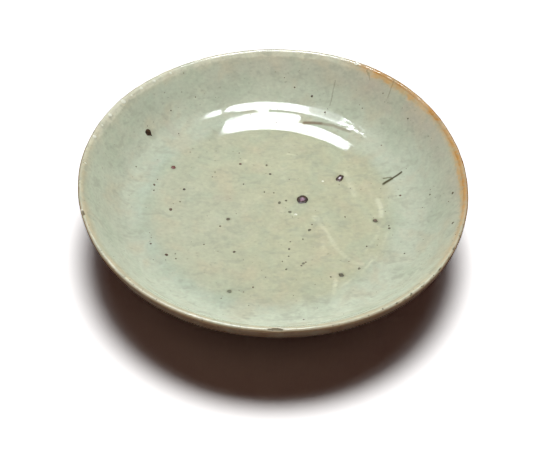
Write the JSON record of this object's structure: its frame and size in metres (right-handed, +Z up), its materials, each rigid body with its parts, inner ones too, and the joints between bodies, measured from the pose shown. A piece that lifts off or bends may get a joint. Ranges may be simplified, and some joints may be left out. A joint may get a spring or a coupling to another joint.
{
  "type": "shallow bowl",
  "caption": "Shallow wheel-thrown bowl with a rounded wall, a flat well inside a thrown ring, a turned foot ring, pale grey-green glaze and a thin rust-coloured lip.",
  "frame": {"origin": "in the plane of the foot ring's bare face, under the centre of the rim", "axes": "+Z up along the axis the bowl was thrown on; +X to the right and +Y away from the viewer of the picture"},
  "size_m": [0.1502, 0.1498, 0.0346],
  "materials": {
    "fired_clay": "matte",
    "foot_clay": "matte",
    "pale_glaze": "gloss",
    "shaded_glaze": "gloss",
    "rust_glaze": "gloss",
    "melted_iron": "satin"
  },
  "bodies": {
    "root": {"clay_body": "fired_clay", "foot_ring": "foot_clay", "inner_glaze": "pale_glaze", "lip_glaze": "rust_glaze", "outer_glaze": "shaded_glaze", "foot_glaze": "shaded_glaze", "recess_glaze": "shaded_glaze", "iron_grain_centre": "melted_iron", "iron_grain_back_right": "melted_iron", "iron_grain_right": "melted_iron", "iron_grain_front_right": "melted_iron", "iron_grain_front": "melted_iron", "iron_grain_left": "melted_iron", "iron_grain_middle": "melted_iron", "iron_grain_wall": "melted_iron"}
  },
  "joints": []
}
